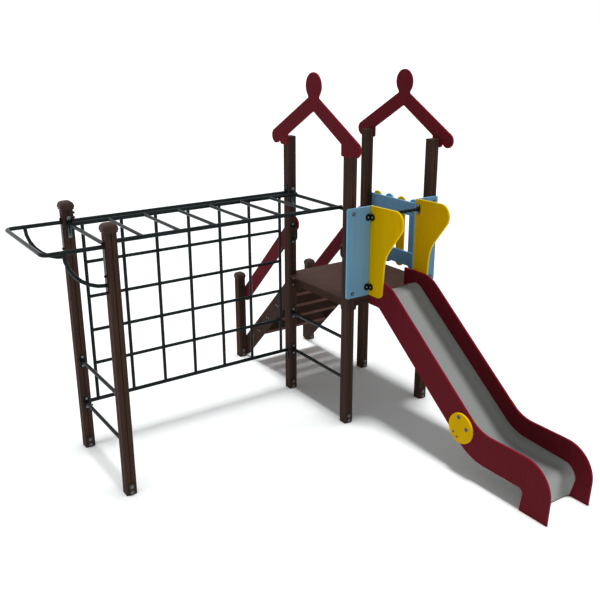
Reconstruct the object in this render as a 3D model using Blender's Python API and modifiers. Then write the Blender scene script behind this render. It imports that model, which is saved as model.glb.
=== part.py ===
"""Play structure: an overhead ladder with a climbing grid, a roofed deck tower, a stair and a slide.

Metres, +Z up, standing on z = 0. The origin is the middle of the foot of the tower post where the
ladder arrives. +X runs from the ladder to the tower, and +Y from the slide to the stair.
"""
import math

import bmesh
import bpy
from mathutils import Matrix, Vector

# Gap between pieces that touch
CLEARANCE = 0.0003

# Plan, between the centres of posts
TOWER_SIDE = 1.0
LADDER_LENGTH = 2.32
STAIR_RUN = 1.09

# Posts: square profiles with round corners and a groove down each face
POST_SIDE = 0.095
POST_CORNER = 0.010
GROOVE_WIDTH = 0.012
GROOVE_DEPTH = 0.003
TOWER_POST_HEIGHT = 2.752
LADDER_POST_HEIGHT = 2.294
STAIR_POST_HEIGHT = 0.984

# Caps on the ladder and stair posts
CAP_OVERHANG = 0.009
CAP_CORNER = 0.022
CAP_CORNER_STEPS = 4
CAP_TAPER = 0.012
CAP_RIM = 0.032
CAP_DOME = 0.020
CAP_DOME_REACH = 0.034
CAP_DOME_STEPS = 4

# Coloured boards, with their edges eased
PANEL_THICKNESS = 0.020
EDGE_EASE = 0.002
ARC_FLATNESS = 0.0005

# Deck and the beams under it, whose ends reach down beside the posts
DECK_TOP = 1.316
DECK_THICKNESS = 0.020
BEAM_DEPTH = 0.100
BEAM_THICKNESS = 0.027
BEAM_EAR_LENGTH = 0.095
BEAM_EAR_DROP = 0.040
BEAM_EAR_RADIUS = 0.012

# Stair: heights are below or above the top of the deck
STAIR_SLOPE = math.radians(45.6)
STRINGER_THICKNESS = 0.022
STRINGER_WIDTH = 0.190
STRINGER_TOP_ABOVE_DECK = 0.0227
STRINGER_FOOT_Z = 0.020
STRINGER_FOOT_CORNER = 0.020
TREAD_COUNT = 4
TREAD_DEPTH = 0.189
TREAD_THICKNESS = 0.033
TREAD_RISE = 0.2113
FIRST_TREAD_DROP = 0.2485
FIRST_TREAD_REAR_Y = 0.020
RISER_THICKNESS = 0.020
HANDRAIL_WIDTH = 0.153
HANDRAIL_TOP_Y = 0.0065
HANDRAIL_TOP_ABOVE_DECK = 0.529
HANDRAIL_END_BEFORE_POST = 0.049

# Grab handles on the tower posts, under the plates of the overhead ladder
HANDLE_BELOW_LADDER = 0.1685
HANDLE_TUBE = 0.025
HANDLE_STANDOFF = 0.065
HANDLE_BOLT_SPACING = 0.187
HANDLE_BEND = 0.035
HANDLE_GRIP_INSET = 0.030
HANDLE_PLATE_WIDTH = 0.045
HANDLE_PLATE_LENGTH = 0.063

# Gable boards: heights are from the top of the tower posts
GABLE_APEX_RISE = 0.283
GABLE_APEX_RADIUS = 0.030
GABLE_NECK_HALF = 0.078
GABLE_NECK_RISE = 0.403
FINIAL_RISE = 0.510
FINIAL_HALF_WIDTH = 0.120
FINIAL_HALF_HEIGHT = 0.123
FINIAL_CUT_BELOW = 0.087
FINIAL_STEPS = 9
LOBE_OUTWARD = 0.152
LOBE_DROP = 0.007
LOBE_RADIUS = 0.072
LOBE_END_ANGLE = math.radians(-140)
NOTCH_OUTWARD = 0.078
NOTCH_DROP = 0.049
NOTCH_RADIUS = 0.006
TAB_OUTWARD = 0.062
TAB_INWARD = 0.055
TAB_DROP = 0.082
TAB_INNER_RISE = 0.023
TAB_RADII = (0.025, 0.012, 0.008)

# Railing on the side of the tower away from the ladder
RAILING_LOWER_ABOVE_DECK = 0.064
RAILING_LOWER_WIDTH = 0.150
RAILING_UPPER_ABOVE_DECK = 0.609
RAILING_UPPER_WIDTH = 0.142
RAILING_END_INSET = 0.006
RAILING_CORNER = 0.010
SLAT_PAST_LOWER = 0.037
SLAT_PAST_UPPER = 0.031
SLAT_WIDTH = 0.120
SLAT_PITCH = 0.195
SLAT_COUNT = 5
SLAT_END_RISE = 0.045
SLAT_END_STEPS = 8

# Boards, fins and bar at the head of the slide
SLIDE_SET_LEFT = 0.010
ENTRANCE_PAST_POSTS = 0.060
ENTRANCE_ABOVE_DECK = 0.014
ENTRANCE_HEIGHT = 0.870
ENTRANCE_CORNER = 0.020
FIN_REACH = 0.452
FIN_WAIST_REACH = 0.215
FIN_FOOT_REACH = 0.183
FIN_NOSE_RISE = 0.720
FIN_WAIST_RISE = 0.415
FIN_TOP_RISE = (0.003, 0.015)
FIN_CORNER = 0.008
FIN_NOSE_RADIUS = 0.110
FIN_WAIST_RADIUS = 0.350
FIN_FOOT_RADIUS = 0.060
HEAD_BAR_TUBE = 0.032
HEAD_BAR_STANDOFF = 0.038
HEAD_BAR_DROP = 0.092
HEAD_FLANGE_SIZE = (0.050, 0.105)
FLANGE_THICKNESS = 0.004

# Slide: side boards outline, with distances in front of the tower's outer face
SLIDE_INNER_WIDTH = 0.500
SLIDE_PITCH = math.radians(38.6)
SLIDE_HEAD_ABOVE_DECK = 0.174
SLIDE_HEAD_BACK = 0.0875
SLIDE_HEAD_FRONT = 0.2885
SLIDE_HEAD_CORNER = 0.006
SLIDE_UNDER_DECK_TOP = 0.088
SLIDE_UNDER_HEAD_FRONT = 0.150
SLIDE_UNDER_BACK_CORNER = 0.012
SLIDE_UNDER_FRONT_CORNER = 0.060
SLIDE_RUNOUT_Z = 0.500
SLIDE_RUNOUT_UNDER_Z = 0.205
SLIDE_NOSE_FRONT = 2.3145
SLIDE_FOOT_FRONT = 2.2935
SLIDE_FOOT_BACK = 2.0095
SLIDE_FOOT_INNER = 2.0355
SLIDE_HEAD_RADIUS = 0.310
SLIDE_VALLEY_RADIUS = 0.350
SLIDE_NOSE_RADIUS = 0.280
SLIDE_UNDER_RADIUS = 0.470
SLIDE_FOOT_RADIUS = 0.045

# Chute: a bent steel sheet between the side boards, and how high its sides turn up along it
CHUTE_SHEET = 0.003
CHUTE_HEAD_OVERLAP = 0.0175
CHUTE_HEAD_FALL = 0.008
CHUTE_CREASE_FRONT = 0.115
CHUTE_BELOW_RUNOUT = 0.256
CHUTE_EXIT_FRONT = 2.0925
CHUTE_EXIT_LEAN = 0.005
CHUTE_EXIT_Z = 0.012
CHUTE_SIDE_AT_HEAD = 0.016
CHUTE_SIDE_AT_DECK_EDGE = 0.0224
CHUTE_SIDE_AT_CREASE = 0.064
CHUTE_SIDE_HEIGHT = 0.080
CHUTE_SIDE_AT_EXIT_BEND = 0.056
CHUTE_SIDE_WIDTH = 0.100
CHUTE_CREASE_BEND = 0.080
CHUTE_VALLEY_BEND = 0.500
CHUTE_EXIT_BEND = 0.075
CHUTE_FLOOR_STEPS = 2
CHUTE_SIDE_STEPS = 5

# Rods that carry the chute, placed as shares of its slope
CHUTE_ROD_TUBE = 0.027
CHUTE_ROD_SHARES = (("upper", 0.22), ("lower", 0.68))

# Discs on the outer sides of the slide
DISC_DIAMETER = 0.280
DISC_FRONT = 1.3225
DISC_Z = 0.455
DISC_STEPS = 24

# Overhead ladder: its height is below the top of the ladder posts, and its plates are from its height
LADDER_DROP = 0.111
LADDER_RAIL_TUBE = 0.038
LADDER_RUNG_TUBE = 0.030
LADDER_RAIL_SPACING = 0.756
LADDER_RUNG_COUNT = 6
LADDER_BAR_TUBE = 0.034
LADDER_BAR_DROP = 0.013
LADDER_PLATE_SPAN = (-0.135, 0.057)
PLATE_WIDTH = 0.050
PLATE_THICKNESS = 0.006

# Bent bar that reaches out past the ladder posts, at the height of the ladder
REACH_TUBE = 0.036
REACH_LENGTH = 0.520
REACH_CORNER = 0.060
REACH_PLATE_SPAN = (-0.383, 0.052)
BRACE_TUBE = 0.032
BRACE_OUT = 0.364
BRACE_DROP = 0.311
BRACE_STEPS = 7

# Climbing grid under the back rail, with its top at the height of the ladder
GRID_RAIL_TUBE = 0.038
GRID_BAR_TUBE = 0.032
GRID_LOW_Z = 0.4535
GRID_FIRST_BAR_RISE = 0.365
GRID_BAR_PITCH = 0.3255
GRID_BAR_COUNT = 4
GRID_UPRIGHT_PITCH = 0.3335
GRID_INNER_UPRIGHTS = 5
GRID_END_INSET = 0.130
GRID_TOP_PLATE_SPAN = (-0.018, 0.089)
GRID_LOW_PLATE_SPAN = (-0.1055, 0.0225)

# Loose rungs between the front and back posts
RUNG_TUBE = 0.034
RUNG_LEVELS = (("low", 0.465), ("high", 0.885))
RUNG_PLATE_SIZE = (0.050, 0.125)

# Round ends of plates stop just short of a half circle
ROUND_END_SHARE = 0.49
TUBE_SIDES = 12
THIN_TUBE_SIDES = 10
SMOOTH_BELOW = math.radians(40)

# Colours as red, green and blue, with roughness and metalness
BROWN = ((0.052, 0.030, 0.025), 0.55, 0.0)
DECK_BROWN = ((0.070, 0.040, 0.032), 0.60, 0.0)
RED = ((0.120, 0.012, 0.020), 0.45, 0.0)
BLUE = ((0.110, 0.260, 0.400), 0.45, 0.0)
YELLOW = ((0.640, 0.450, 0.005), 0.45, 0.0)
TUBE_GREY = ((0.050, 0.075, 0.080), 0.40, 0.6)
STEEL = ((0.560, 0.570, 0.560), 0.25, 1.0)

POST_HALF = POST_SIDE / 2
DECK_UNDERSIDE = DECK_TOP - DECK_THICKNESS
FRONT_FACE_Y = -TOWER_SIDE - POST_HALF
LADDER_X = -LADDER_LENGTH
LADDER_Z = LADDER_POST_HEIGHT - LADDER_DROP
SLIDE_CENTRE_X = TOWER_SIDE / 2 - SLIDE_SET_LEFT
SLIDE_HEAD_Z = DECK_TOP + SLIDE_HEAD_ABOVE_DECK
POST_FACE = POST_HALF + CLEARANCE

for leftover in list(bpy.data.objects):
    bpy.data.objects.remove(leftover)

parts = bpy.data.collections.new("play_structure")
helpers = bpy.data.collections.new("union_members")
bpy.context.scene.collection.children.link(parts)
bpy.context.scene.collection.children.link(helpers)


# Materials

def finish(name, look):
    colour, roughness, metallic = look
    made = bpy.data.materials.new(name)
    made.use_nodes = True
    shader = made.node_tree.nodes["Principled BSDF"]
    shader.inputs["Base Color"].default_value = (*colour, 1.0)
    shader.inputs["Roughness"].default_value = roughness
    shader.inputs["Metallic"].default_value = metallic
    made.diffuse_color = (*colour, 1.0)
    return made


# Outlines

def arc_steps(radius, turn):
    """How many straight lines stand for an arc, so that none lies further than the flatness from it."""
    widest = 2 * math.acos(1 - ARC_FLATNESS / max(radius, ARC_FLATNESS))
    return max(2, math.ceil(abs(turn) / widest))


def corner_arcs(corners):
    """For each corner (a, b, radius) of a closed outline, the points of the arc that rounds it.

    Where the arcs at the two ends of a side would meet, both are made smaller to fit it.
    """
    spots = [Vector((a, b)) for a, b, _ in corners]
    count = len(spots)
    back = [(spots[n - 1] - spots[n]).normalized() for n in range(count)]
    ahead = [(spots[(n + 1) % count] - spots[n]).normalized() for n in range(count)]
    half_angles = [back[n].angle(ahead[n]) / 2 for n in range(count)]
    trims = [radius / math.tan(half) for (_, _, radius), half in zip(corners, half_angles)]
    fits = []
    for n in range(count):
        side = (spots[(n + 1) % count] - spots[n]).length * 0.999
        fits.append(min(1.0, side / max(trims[n] + trims[(n + 1) % count], side)))
    arcs = []
    for n, here in enumerate(spots):
        trim = trims[n] * min(fits[n - 1], fits[n])
        if trim == 0:
            arcs.append([here])
            continue
        centre = here + (back[n] + ahead[n]).normalized() * trim / math.cos(half_angles[n])
        start = here + back[n] * trim - centre
        turn = start.angle_signed(here + ahead[n] * trim - centre)
        steps = arc_steps(start.length, turn)
        turns = [Matrix.Rotation(-turn * step / steps, 2) for step in range(steps + 1)]
        arcs.append([centre + matrix @ start for matrix in turns])
    return arcs


def rounded(corners):
    return [point for arc in corner_arcs(corners) for point in arc]


def box_corners(low_a, high_a, low_b, high_b, radius):
    spots = (low_a, low_b), (high_a, low_b), (high_a, high_b), (low_a, high_b)
    return [(*spot, radius) for spot in spots]


def round_ended(width, low, high):
    return rounded(box_corners(-width / 2, width / 2, low, high, width * ROUND_END_SHARE))


# Frames that lay an outline's two directions and its thickness along the world's axes
ACROSS_X = Matrix(((0, 0, 1), (1, 0, 0), (0, 1, 0))).to_4x4()
ACROSS_Y = Matrix(((1, 0, 0), (0, 0, -1), (0, 1, 0))).to_4x4()
ACROSS_Z = Matrix.Identity(4)


def flat_curve(name, points, frame, middle, thickness, ease):
    """A closed outline, extruded by its thickness about the plane through middle, with its edges eased."""
    curve = bpy.data.curves.new(name, "CURVE")
    curve.dimensions = "2D"
    curve.fill_mode = "BOTH"
    curve.extrude = thickness / 2 - ease
    curve.bevel_depth = ease
    curve.bevel_resolution = 0
    curve.offset = -ease
    line = curve.splines.new("POLY")
    line.points.add(len(points) - 1)
    for knot, point in zip(line.points, points):
        knot.co = (point[0], point[1], 0, 1)
    line.use_cyclic_u = True
    made = bpy.data.objects.new(name, curve)
    made.matrix_world = Matrix.Translation(middle) @ frame
    return made


def board(name, points, frame, middle, thickness, look, ease=EDGE_EASE):
    made = flat_curve(name, points, frame, middle, thickness, ease)
    made.data.materials.append(finish(name + "_finish", look))
    parts.objects.link(made)


def block(name, low, high, look):
    """A square-edged board from its low corner to its high corner."""
    low, high = Vector(low), Vector(high)
    middle = (low + high) / 2
    flat = [axis for axis in range(3) if axis != min(range(3), key=lambda n: high[n] - low[n])]
    frame = {(1, 2): ACROSS_X, (0, 2): ACROSS_Y, (0, 1): ACROSS_Z}[tuple(flat)]
    half = [(high[axis] - low[axis]) / 2 for axis in flat]
    outline = [Vector((a * half[0], b * half[1])) for a, b in ((-1, -1), (1, -1), (1, 1), (-1, 1))]
    thickness = min(high[axis] - low[axis] for axis in range(3))
    board(name, outline, frame, middle, thickness, look)


# Meshes for pieces that are welded together

def mesh_object(name, bm):
    mesh = bpy.data.meshes.new(name)
    bm.to_mesh(mesh)
    bm.free()
    return bpy.data.objects.new(name, mesh)


def straight_tube(name, start, end, diameter, sides=TUBE_SIDES):
    start, end = Vector(start), Vector(end)
    bm = bmesh.new()
    bmesh.ops.create_cone(
        bm, cap_ends=True, segments=sides, radius1=diameter / 2, radius2=diameter / 2,
        depth=(end - start).length)
    turned = (end - start).to_track_quat("Z", "Y").to_matrix().to_4x4()
    bmesh.ops.transform(bm, matrix=Matrix.Translation((start + end) / 2) @ turned, verts=bm.verts)
    return mesh_object(name, bm)


def meshed(curve_object):
    """The mesh of a curve object, with its caps welded on, in place of the curve."""
    bpy.context.scene.collection.objects.link(curve_object)
    graph = bpy.context.evaluated_depsgraph_get()
    mesh = bpy.data.meshes.new_from_object(curve_object.evaluated_get(graph))
    bm = bmesh.new()
    bm.from_mesh(mesh)
    bmesh.ops.remove_doubles(bm, verts=bm.verts, dist=0.00001)
    bm.to_mesh(mesh)
    bm.free()
    made = bpy.data.objects.new(curve_object.name + "_mesh", mesh)
    made.matrix_world = curve_object.matrix_world.copy()
    bpy.data.objects.remove(curve_object)
    return made


def bent_tube(name, points, diameter, resolution=4):
    curve = bpy.data.curves.new(name, "CURVE")
    curve.dimensions = "3D"
    curve.bevel_depth = diameter / 2
    curve.bevel_resolution = resolution
    curve.use_fill_caps = True
    line = curve.splines.new("POLY")
    line.points.add(len(points) - 1)
    for knot, point in zip(line.points, points):
        knot.co = (*point, 1)
    return meshed(bpy.data.objects.new(name, curve))


def plate_member(name, points, frame, middle, thickness):
    return meshed(flat_curve(name, points, frame, middle, thickness, 0))


def weldment(name, members, look):
    """One welded piece: the first member, joined by a Boolean union with the others."""
    base = members[0]
    base.name = name
    base.data.name = name
    base.data.materials.clear()
    base.data.materials.append(finish(name + "_finish", look))
    parts.objects.link(base)
    if len(members) > 1:
        group = bpy.data.collections.new(name + "_members")
        helpers.children.link(group)
        for member in members[1:]:
            member.hide_render = True
            member.display_type = "WIRE"
            group.objects.link(member)
        join = base.modifiers.new("weld", "BOOLEAN")
        join.operation = "UNION"
        join.operand_type = "COLLECTION"
        join.collection = group
    base.data.shade_smooth()
    base.data.set_sharp_from_angle(angle=SMOOTH_BELOW)


def arc_points(centre, radius, start, end, along, up):
    """Points of an arc about centre, in the plane of the unit vectors along and up."""
    steps = arc_steps(radius, end - start)
    angles = [start + (end - start) * step / steps for step in range(steps + 1)]
    return [centre + along * radius * math.cos(angle) + up * radius * math.sin(angle) for angle in angles]


# Posts and caps

def post_outline():
    """A square with round corners and a shallow groove in the middle of each side."""
    half, groove = POST_HALF, GROOVE_WIDTH / 2
    side = [(half, -groove, 0), (half - GROOVE_DEPTH, -groove + GROOVE_DEPTH, 0),
            (half - GROOVE_DEPTH, groove - GROOVE_DEPTH, 0), (half, groove, 0),
            (half, half, POST_CORNER)]
    corners = []
    for quarter in range(4):
        turn = Matrix.Rotation(quarter * math.pi / 2, 2)
        for a, b, radius in side:
            corners.append((*(turn @ Vector((a, b))), radius))
    return rounded(corners)


def post(name, x, y, height):
    board(name, post_outline(), ACROSS_Z, (x, y, height / 2), height, BROWN, ease=0)


def cap(name, x, y, base_z):
    """A rim that overhangs the post, tapered under its edge and domed on top."""
    width = POST_SIDE + 2 * CAP_OVERHANG
    bm = bmesh.new()
    bmesh.ops.create_cube(bm, size=1.0)
    bmesh.ops.scale(bm, vec=(width, width, CAP_RIM), verts=bm.verts)
    uprights = [edge for edge in bm.edges if abs(edge.verts[0].co.z - edge.verts[1].co.z) > CAP_RIM / 2]
    bmesh.ops.bevel(bm, geom=uprights, offset=CAP_CORNER, segments=CAP_CORNER_STEPS, profile=0.5,
                      affect="EDGES")
    top = max(bm.faces, key=lambda face: face.calc_center_median().z)
    bottom = min(bm.faces, key=lambda face: face.calc_center_median().z)
    bmesh.ops.inset_region(bm, faces=[bottom], thickness=CAP_OVERHANG, depth=0)
    bmesh.ops.translate(bm, vec=(0, 0, -CAP_TAPER), verts=bottom.verts)
    for step in range(CAP_DOME_STEPS):
        low = math.pi / 2 * step / CAP_DOME_STEPS
        high = math.pi / 2 * (step + 1) / CAP_DOME_STEPS
        bmesh.ops.inset_region(
            bm, faces=[top], thickness=CAP_DOME_REACH * (math.cos(low) - math.cos(high)), depth=0)
        bmesh.ops.translate(
            bm, vec=(0, 0, CAP_DOME * (math.sin(high) - math.sin(low))), verts=top.verts)
    bmesh.ops.translate(bm, vec=(x, y, base_z + CAP_TAPER + CAP_RIM / 2), verts=bm.verts)
    weldment(name, [mesh_object(name, bm)], BROWN)


def build_posts():
    back, front, stair = 0, -TOWER_SIDE, STAIR_RUN
    post("post_ladder_back", LADDER_X, back, LADDER_POST_HEIGHT)
    post("post_ladder_front", LADDER_X, front, LADDER_POST_HEIGHT)
    post("post_tower_back_left", 0, back, TOWER_POST_HEIGHT)
    post("post_tower_front_left", 0, front, TOWER_POST_HEIGHT)
    post("post_tower_back_right", TOWER_SIDE, back, TOWER_POST_HEIGHT)
    post("post_tower_front_right", TOWER_SIDE, front, TOWER_POST_HEIGHT)
    post("post_stair_left", 0, stair, STAIR_POST_HEIGHT)
    post("post_stair_right", TOWER_SIDE, stair, STAIR_POST_HEIGHT)
    cap("cap_ladder_back", LADDER_X, back, LADDER_POST_HEIGHT + CLEARANCE)
    cap("cap_ladder_front", LADDER_X, front, LADDER_POST_HEIGHT + CLEARANCE)
    cap("cap_stair_left", 0, stair, STAIR_POST_HEIGHT + CLEARANCE)
    cap("cap_stair_right", TOWER_SIDE, stair, STAIR_POST_HEIGHT + CLEARANCE)


# Deck

def beam_outline(length):
    """A beam seen from its side, about its middle and down from its top, with an ear under each end."""
    half, inner = length / 2, length / 2 - BEAM_EAR_LENGTH
    right = [(inner, -BEAM_DEPTH, BEAM_EAR_RADIUS), (inner, -BEAM_DEPTH - BEAM_EAR_DROP, BEAM_EAR_RADIUS),
             (half, -BEAM_DEPTH - BEAM_EAR_DROP, 0), (half, 0, 0)]
    left = [(-a, z, radius) for a, z, radius in right[::-1]]
    return rounded(right + left)


def build_deck():
    half = TOWER_SIDE / 2
    out = half + POST_HALF
    notch = half - POST_FACE
    outline = [(-notch, -out), (notch, -out), (notch, -notch), (out, -notch), (out, notch), (notch, notch),
               (notch, out), (-notch, out), (-notch, notch), (-out, notch), (-out, -notch), (-notch, -notch)]
    middle = (half, -half, DECK_TOP - DECK_THICKNESS / 2)
    board("deck_board", outline, ACROSS_Z, middle, DECK_THICKNESS, DECK_BROWN)
    top = DECK_UNDERSIDE - CLEARANCE
    outline = beam_outline(TOWER_SIDE - 2 * POST_FACE)
    side_in = POST_HALF - BEAM_THICKNESS / 2
    for name, x in (("deck_beam_left", side_in), ("deck_beam_right", TOWER_SIDE - side_in)):
        board(name, outline, ACROSS_X, (x, -half, top), BEAM_THICKNESS, BROWN)
    cross_in = POST_FACE + BEAM_THICKNESS / 2
    for name, y in (("deck_beam_back", -cross_in), ("deck_beam_front", -TOWER_SIDE + cross_in)):
        board(name, outline, ACROSS_Y, (half, y, top), BEAM_THICKNESS, BROWN)
    block("deck_bearer", (POST_FACE, -half - BEAM_THICKNESS / 2, top - BEAM_DEPTH),
          (TOWER_SIDE - POST_FACE, -half + BEAM_THICKNESS / 2, top), BROWN)


# Stair

def build_stair():
    fall = math.tan(STAIR_SLOPE)
    top_at_deck = DECK_TOP + STRINGER_TOP_ABOVE_DECK
    under_deck = DECK_UNDERSIDE - CLEARANCE
    drop = STRINGER_WIDTH / math.cos(STAIR_SLOPE)
    rear, front = -POST_HALF + CLEARANCE, STAIR_RUN + POST_HALF - EDGE_EASE

    def top_edge(y):
        return top_at_deck - fall * y

    def y_of_low_edge(z):
        return (top_at_deck - drop - z) / fall

    outline = rounded([
        (rear, under_deck, 0),
        ((top_at_deck - under_deck) / fall, under_deck, 0),
        (front, top_edge(front), 0),
        (front, STRINGER_FOOT_Z, 0),
        (y_of_low_edge(STRINGER_FOOT_Z), STRINGER_FOOT_Z, STRINGER_FOOT_CORNER),
        (rear, top_edge(rear) - drop, 0),
    ][::-1])
    left = POST_FACE + STRINGER_THICKNESS / 2
    right = TOWER_SIDE - left
    for name, x in (("stringer_left", left), ("stringer_right", right)):
        board(name, outline, ACROSS_X, (x, 0, 0), STRINGER_THICKNESS, BROWN)
    tread_left = left + STRINGER_THICKNESS / 2 + CLEARANCE
    tread_right = TOWER_SIDE - tread_left
    riser_top = under_deck
    for number in range(TREAD_COUNT):
        top = DECK_TOP - FIRST_TREAD_DROP - number * TREAD_RISE
        rear_y = FIRST_TREAD_REAR_Y + number * TREAD_RISE / fall
        block(f"riser_{number + 1}", (tread_left, rear_y, top + CLEARANCE),
              (tread_right, rear_y + RISER_THICKNESS, riser_top), BROWN)
        block(f"tread_{number + 1}", (tread_left, rear_y, top - TREAD_THICKNESS),
              (tread_right, rear_y + TREAD_DEPTH, top), BROWN)
        riser_top = top - TREAD_THICKNESS - CLEARANCE
    build_handrails(fall)


def build_handrails(fall):
    high = Vector((HANDRAIL_TOP_Y, DECK_TOP + HANDRAIL_TOP_ABOVE_DECK))
    low_y = STAIR_RUN - HANDRAIL_END_BEFORE_POST
    low = Vector((low_y, high.y - (low_y - high.x) * fall))
    along = (low - high).normalized()
    side = Vector((-along.y, along.x)) * HANDRAIL_WIDTH / 2
    turn = math.atan2(side.y, side.x)
    across, up = Vector((1, 0)), Vector((0, 1))
    ends = arc_points(high, HANDRAIL_WIDTH / 2, turn, turn + math.pi, across, up)
    ends += arc_points(low, HANDRAIL_WIDTH / 2, turn + math.pi, turn + 2 * math.pi, across, up)
    offset = POST_FACE + PANEL_THICKNESS / 2
    for name, x in (("handrail_left", offset), ("handrail_right", TOWER_SIDE - offset)):
        board(name, ends, ACROSS_X, (x, 0, 0), PANEL_THICKNESS, RED)


# Roof gables

def gable_outline():
    """Half of the gable, from the finial's top down its outer side to the inner apex, then its mirror."""
    half, top = TOWER_SIDE / 2, TOWER_POST_HEIGHT
    neck_a, neck_z = GABLE_NECK_HALF, top + GABLE_NECK_RISE
    cut_angle = -math.asin(FINIAL_CUT_BELOW / FINIAL_HALF_HEIGHT)
    right = []
    for step in range(FINIAL_STEPS + 1):
        angle = math.pi / 2 + (cut_angle - math.pi / 2) * step / FINIAL_STEPS
        right.append((FINIAL_HALF_WIDTH * math.cos(angle),
                      top + FINIAL_RISE + FINIAL_HALF_HEIGHT * math.sin(angle), 0))
    right.append((neck_a, neck_z, 0))
    lobe_a, lobe_z = half + LOBE_OUTWARD, top - LOBE_DROP
    reach = math.hypot(lobe_a - neck_a, lobe_z - neck_z)
    first = math.atan2(lobe_z - neck_z, lobe_a - neck_a) + math.pi / 2 - math.asin(LOBE_RADIUS / reach)
    steps = arc_steps(LOBE_RADIUS, first - LOBE_END_ANGLE)
    for step in range(steps + 1):
        angle = first + (LOBE_END_ANGLE - first) * step / steps
        right.append((lobe_a + LOBE_RADIUS * math.cos(angle), lobe_z + LOBE_RADIUS * math.sin(angle), 0))
    outer_radius, inner_radius, fillet = TAB_RADII
    right += [(half + NOTCH_OUTWARD, top - NOTCH_DROP, NOTCH_RADIUS),
              (half + TAB_OUTWARD, top - TAB_DROP, outer_radius),
              (half - TAB_INWARD, top - TAB_DROP, inner_radius),
              (half - TAB_INWARD, top + TAB_INNER_RISE, fillet)]
    left = [(-a, z, radius) for a, z, radius in right[:0:-1]]
    return rounded((right + [(0, top + GABLE_APEX_RISE, GABLE_APEX_RADIUS)] + left)[::-1])


def build_gables():
    outline = gable_outline()
    out = POST_FACE + PANEL_THICKNESS / 2
    for name, x in (("gable_left", -out), ("gable_right", TOWER_SIDE + out)):
        board(name, outline, ACROSS_X, (x, -TOWER_SIDE / 2, 0), PANEL_THICKNESS, RED)


# Railing

def build_railing():
    board_x = TOWER_SIDE + POST_FACE + PANEL_THICKNESS / 2
    slat_x = board_x + PANEL_THICKNESS + CLEARANCE
    half = TOWER_SIDE / 2 + POST_HALF - RAILING_END_INSET
    lower = DECK_TOP + RAILING_LOWER_ABOVE_DECK
    upper = DECK_TOP + RAILING_UPPER_ABOVE_DECK
    for name, low, width in (("railing_board_lower", lower, RAILING_LOWER_WIDTH),
                             ("railing_board_upper", upper, RAILING_UPPER_WIDTH)):
        outline = rounded(box_corners(-half, half, low, low + width, RAILING_CORNER))
        board(name, outline, ACROSS_X, (board_x, -TOWER_SIDE / 2, 0), PANEL_THICKNESS, BLUE)
    slat = slat_outline(lower - SLAT_PAST_LOWER, upper + RAILING_UPPER_WIDTH + SLAT_PAST_UPPER)
    for number in range(SLAT_COUNT):
        y = -TOWER_SIDE / 2 + (number - (SLAT_COUNT - 1) / 2) * SLAT_PITCH
        look = YELLOW if number % 2 == 0 else BLUE
        board(f"railing_slat_{number + 1}", slat, ACROSS_X, (slat_x, y, 0), PANEL_THICKNESS, look)


def slat_outline(low, high):
    """A straight slat whose two ends are half ellipses."""
    top = []
    for step in range(SLAT_END_STEPS + 1):
        angle = math.pi * step / SLAT_END_STEPS
        top.append((SLAT_WIDTH / 2 * math.cos(angle), high + SLAT_END_RISE * (math.sin(angle) - 1)))
    return top + [(-a, low + high - z) for a, z in top]


# Boards and fins at the head of the slide

def build_entrance():
    board_y = FRONT_FACE_Y - CLEARANCE - PANEL_THICKNESS / 2
    passage = SLIDE_INNER_WIDTH / 2 + PANEL_THICKNESS + CLEARANCE
    outer = TOWER_SIDE / 2 + ENTRANCE_PAST_POSTS
    low = DECK_TOP + ENTRANCE_ABOVE_DECK
    high = low + ENTRANCE_HEIGHT
    plate = rounded(box_corners(-outer, -passage, low, high, ENTRANCE_CORNER))
    mirrored = [(-a, z) for a, z in plate][::-1]
    for name, outline in (("entrance_board_left", plate), ("entrance_board_right", mirrored)):
        board(name, outline, ACROSS_Y, (SLIDE_CENTRE_X, board_y, 0), PANEL_THICKNESS, BLUE)
    back = board_y - PANEL_THICKNESS / 2 - CLEARANCE
    fin = rounded([
        (back, low, FIN_CORNER),
        (back, high + FIN_TOP_RISE[0], FIN_CORNER),
        (back - FIN_REACH, high + FIN_TOP_RISE[1], FIN_NOSE_RADIUS),
        (back - FIN_REACH, low + FIN_NOSE_RISE, FIN_NOSE_RADIUS),
        (back - FIN_WAIST_REACH, low + FIN_WAIST_RISE, FIN_WAIST_RADIUS),
        (back - FIN_FOOT_REACH, low, FIN_FOOT_RADIUS),
    ])
    out = passage + PANEL_THICKNESS / 2
    for name, x in (("fin_left", SLIDE_CENTRE_X - out), ("fin_right", SLIDE_CENTRE_X + out)):
        board(name, fin, ACROSS_X, (x, 0, 0), PANEL_THICKNESS, YELLOW)
    build_head_bar(Vector((SLIDE_CENTRE_X, back - HEAD_BAR_STANDOFF, high - HEAD_BAR_DROP)), passage)


def build_head_bar(centre, passage):
    reach = Vector((passage - CLEARANCE - FLANGE_THICKNESS / 2, 0, 0))
    width, height = HEAD_FLANGE_SIZE
    oval = round_ended(width, -height / 2, height / 2)
    members = [straight_tube("head_bar", centre - reach, centre + reach, HEAD_BAR_TUBE)]
    for middle in (centre - reach, centre + reach):
        members.append(plate_member("flange", oval, ACROSS_X, middle, FLANGE_THICKNESS))
    weldment("head_bar", members, TUBE_GREY)


# Slide

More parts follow.
